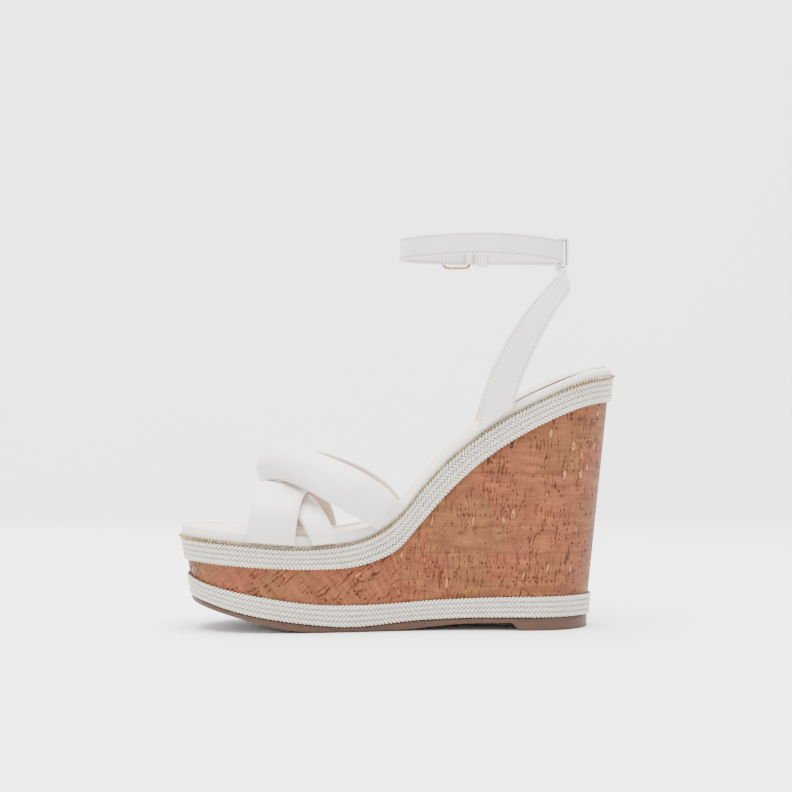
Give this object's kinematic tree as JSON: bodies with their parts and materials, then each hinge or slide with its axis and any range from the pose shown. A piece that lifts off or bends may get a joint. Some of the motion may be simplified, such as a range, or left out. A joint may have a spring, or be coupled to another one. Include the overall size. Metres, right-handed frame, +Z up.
{
  "type": "wedge sandal",
  "caption": "Right-foot platform wedge sandal: cork-covered wedge with braided edges, crossed and knotted padded toe straps, and a buckled ankle strap.",
  "frame": {"origin": "on the floor, at the middle of the bounding box's underside", "axes": "+X towards the heel, +Y towards the outer (little-toe, buckle) side, +Z up"},
  "size_m": [0.2311, 0.0914, 0.2092],
  "materials": {
    "outsole": "matte moulded tan-brown rubber",
    "core": "light moulded foam plastic, unseen",
    "cork": "natural cork veneer, patchwork with dark pores, matte",
    "braid": "white flat herringbone plait, matte",
    "gold": "pale champagne gold, polished",
    "leather": "smooth white leather, satin",
    "lining": "beige lining leather, matte",
    "foam": "soft foam, unseen",
    "board": "fibre insole board, unseen",
    "steel": "plain steel, unseen"
  },
  "bodies": {
    "sole_and_toe_straps": {"outsole": "outsole", "wedge_core": "core", "cork_panel_front": "cork", "cork_panel_heel": "cork", "lower_braid": "braid", "upper_braid": "braid", "bead_trim": "gold", "insole_board": "board", "shank": "steel", "shank_rivet_front": "steel", "shank_rivet_rear": "steel", "heel_screw_1": "steel", "heel_screw_2": "steel", "heel_screw_3": "steel", "rim_binding": "leather", "footbed_foam": "foam", "sock_lining": "lining", "toe_strap_over_cover": "leather", "toe_strap_over_foam": "foam", "toe_strap_over_lining": "lining", "toe_strap_under_cover": "leather", "toe_strap_under_foam": "foam", "toe_strap_under_lining": "lining", "knot_band_cover": "leather", "knot_band_foam": "foam", "knot_band_lining": "lining"},
    "heel_strap": {"heel_strap": "leather", "heel_strap_lining": "lining", "back_loop": "leather"},
    "ankle_strap": {"ankle_strap": "leather", "strap_keeper": "leather"},
    "buckle_frame": {"buckle_frame": "gold"},
    "buckle_prong": {"buckle_prong": "gold"}
  },
  "joints": [
    {"name": "heel_strap_lean", "type": "hinge", "parent": "sole_and_toe_straps", "child": "heel_strap", "pos_m": [0.0505, 0, 0.11], "axis": [0, 1, 0], "range_deg": [-5, 5]},
    {"name": "ankle_strap_tilt", "type": "hinge", "parent": "heel_strap", "child": "ankle_strap", "pos_m": [0.0882, 0, 0.2006], "axis": [0, 1, 0], "range_deg": [-6, 6]},
    {"name": "buckle_swing", "type": "hinge", "parent": "ankle_strap", "child": "buckle_frame", "pos_m": [0.04, 0.0282, 0.2006], "axis": [0, 0, -1], "range_deg": [0, 8]},
    {"name": "prong_swing", "type": "hinge", "parent": "buckle_frame", "child": "buckle_prong", "pos_m": [0.04, 0.0282, 0.2006], "axis": [0, 0, -1], "range_deg": [0, 7]}
  ]
}
